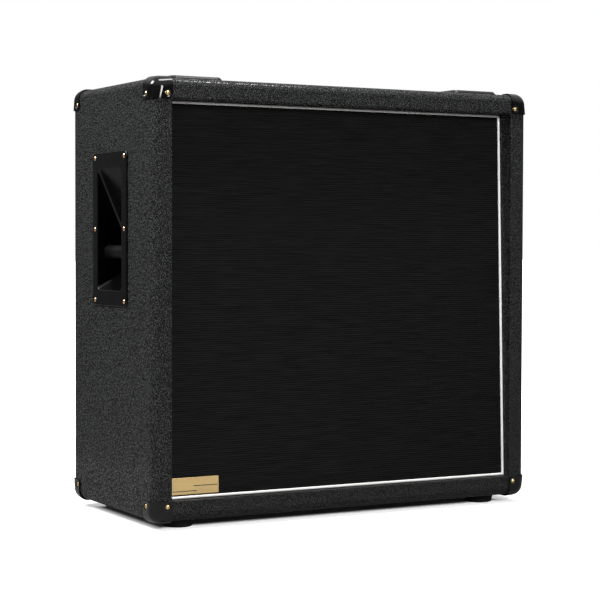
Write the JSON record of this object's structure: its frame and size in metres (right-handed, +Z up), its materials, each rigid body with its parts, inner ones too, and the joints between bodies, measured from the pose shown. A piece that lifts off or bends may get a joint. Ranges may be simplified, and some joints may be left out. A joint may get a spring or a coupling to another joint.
{
  "type": "guitar speaker cabinet",
  "caption": "Closed-back guitar speaker cabinet: vinyl-covered box with a leaning black cloth front, white piping, moulded corners and recessed bar handles.",
  "frame": {"origin": "on the floor under the middle of the box, at the underside of the feet", "axes": "+Z up; the grille faces -Y; the handles are on the -X and +X sides"},
  "size_m": [0.7798, 0.371, 0.7765],
  "materials": {
    "plywood": "matte",
    "vinyl": "satin",
    "grille_cloth": "matte",
    "piping": "satin",
    "gold_plate": "satin",
    "corner_plastic": "gloss",
    "handle_plastic": "satin",
    "grip": "satin",
    "cup_plastic": "matte",
    "foot_rubber": "matte",
    "dish_plastic": "satin",
    "jack_metal": "satin",
    "switch_case": "satin",
    "switch_chrome": "polished",
    "brass_screws": "polished",
    "copper_screws": "polished",
    "black_screws": "satin",
    "zinc_bolts": "satin",
    "speaker_frame": "satin",
    "gasket": "matte",
    "motor_steel": "satin",
    "magnet": "matte",
    "cone_paper": "matte",
    "suspension_cloth": "matte",
    "wiring": "satin"
  },
  "bodies": {
    "cabinet": {"top_panel": "plywood", "bottom_panel": "plywood", "left_side_panel": "plywood", "right_side_panel": "plywood", "front_rail_top": "plywood", "front_rail_bottom": "plywood", "front_rail_left": "plywood", "front_rail_right": "plywood", "baffle_board": "plywood", "back_panel": "plywood", "back_battens": "plywood", "centre_brace": "plywood", "vinyl_covering": "vinyl", "back_vinyl": "vinyl", "grille_cloth": "grille_cloth", "piping": "piping", "name_plate": "gold_plate", "corner_front_left_bottom": "corner_plastic", "corner_front_right_bottom": "corner_plastic", "corner_rear_left_bottom": "corner_plastic", "corner_rear_right_bottom": "corner_plastic", "corner_front_left_top": "corner_plastic", "corner_front_right_top": "corner_plastic", "corner_rear_left_top": "corner_plastic", "corner_rear_right_top": "corner_plastic", "foot_front_left": "foot_rubber", "foot_front_right": "foot_rubber", "foot_rear_left": "foot_rubber", "foot_rear_right": "foot_rubber", "caster_cup_front_left": "cup_plastic", "caster_cup_front_right": "cup_plastic", "caster_cup_rear_left": "cup_plastic", "caster_cup_rear_right": "cup_plastic", "left_handle_dish": "handle_plastic", "right_handle_dish": "handle_plastic", "left_grip_bar": "grip", "right_grip_bar": "grip", "jack_dish": "dish_plastic", "jack_sockets": "jack_metal", "switch_body": "switch_case", "speaker_frames": "speaker_frame", "speaker_gaskets": "gasket", "speaker_front_plates": "motor_steel", "speaker_magnets": "magnet", "speaker_back_plates": "motor_steel", "suspension_1": "suspension_cloth", "suspension_2": "suspension_cloth", "suspension_3": "suspension_cloth", "suspension_4": "suspension_cloth", "speaker_wiring": "wiring", "corner_screws": "brass_screws", "handle_screws": "copper_screws", "panel_screws": "black_screws", "cup_and_foot_screws": "black_screws", "speaker_bolts": "zinc_bolts"},
    "cone_top_left": {"cone_1": "cone_paper"},
    "cone_top_right": {"cone_2": "cone_paper"},
    "cone_bottom_left": {"cone_3": "cone_paper"},
    "cone_bottom_right": {"cone_4": "cone_paper"},
    "switch_lever": {"switch_lever": "switch_chrome"}
  },
  "joints": [
    {"name": "cone_top_left_travel", "type": "slide", "parent": "cabinet", "child": "cone_top_left", "axis": [0, -0.9995, 0.0307], "range_m": [-0.003, 0.003], "stiffness_N_per_m": 10000, "deforming": ["suspension_1"]},
    {"name": "cone_top_right_travel", "type": "slide", "parent": "cabinet", "child": "cone_top_right", "axis": [0, -0.9995, 0.0307], "range_m": [-0.003, 0.003], "stiffness_N_per_m": 10000, "deforming": ["suspension_2"]},
    {"name": "cone_bottom_left_travel", "type": "slide", "parent": "cabinet", "child": "cone_bottom_left", "axis": [0, -0.9995, 0.0307], "range_m": [-0.003, 0.003], "stiffness_N_per_m": 10000, "deforming": ["suspension_3"]},
    {"name": "cone_bottom_right_travel", "type": "slide", "parent": "cabinet", "child": "cone_bottom_right", "axis": [0, -0.9995, 0.0307], "range_m": [-0.003, 0.003], "stiffness_N_per_m": 10000, "deforming": ["suspension_4"]},
    {"name": "switch_throw", "type": "hinge", "parent": "cabinet", "child": "switch_lever", "pos_m": [0, 0.149, 0.262], "axis": [0, 0, -1], "range_deg": [0, 24]}
  ]
}
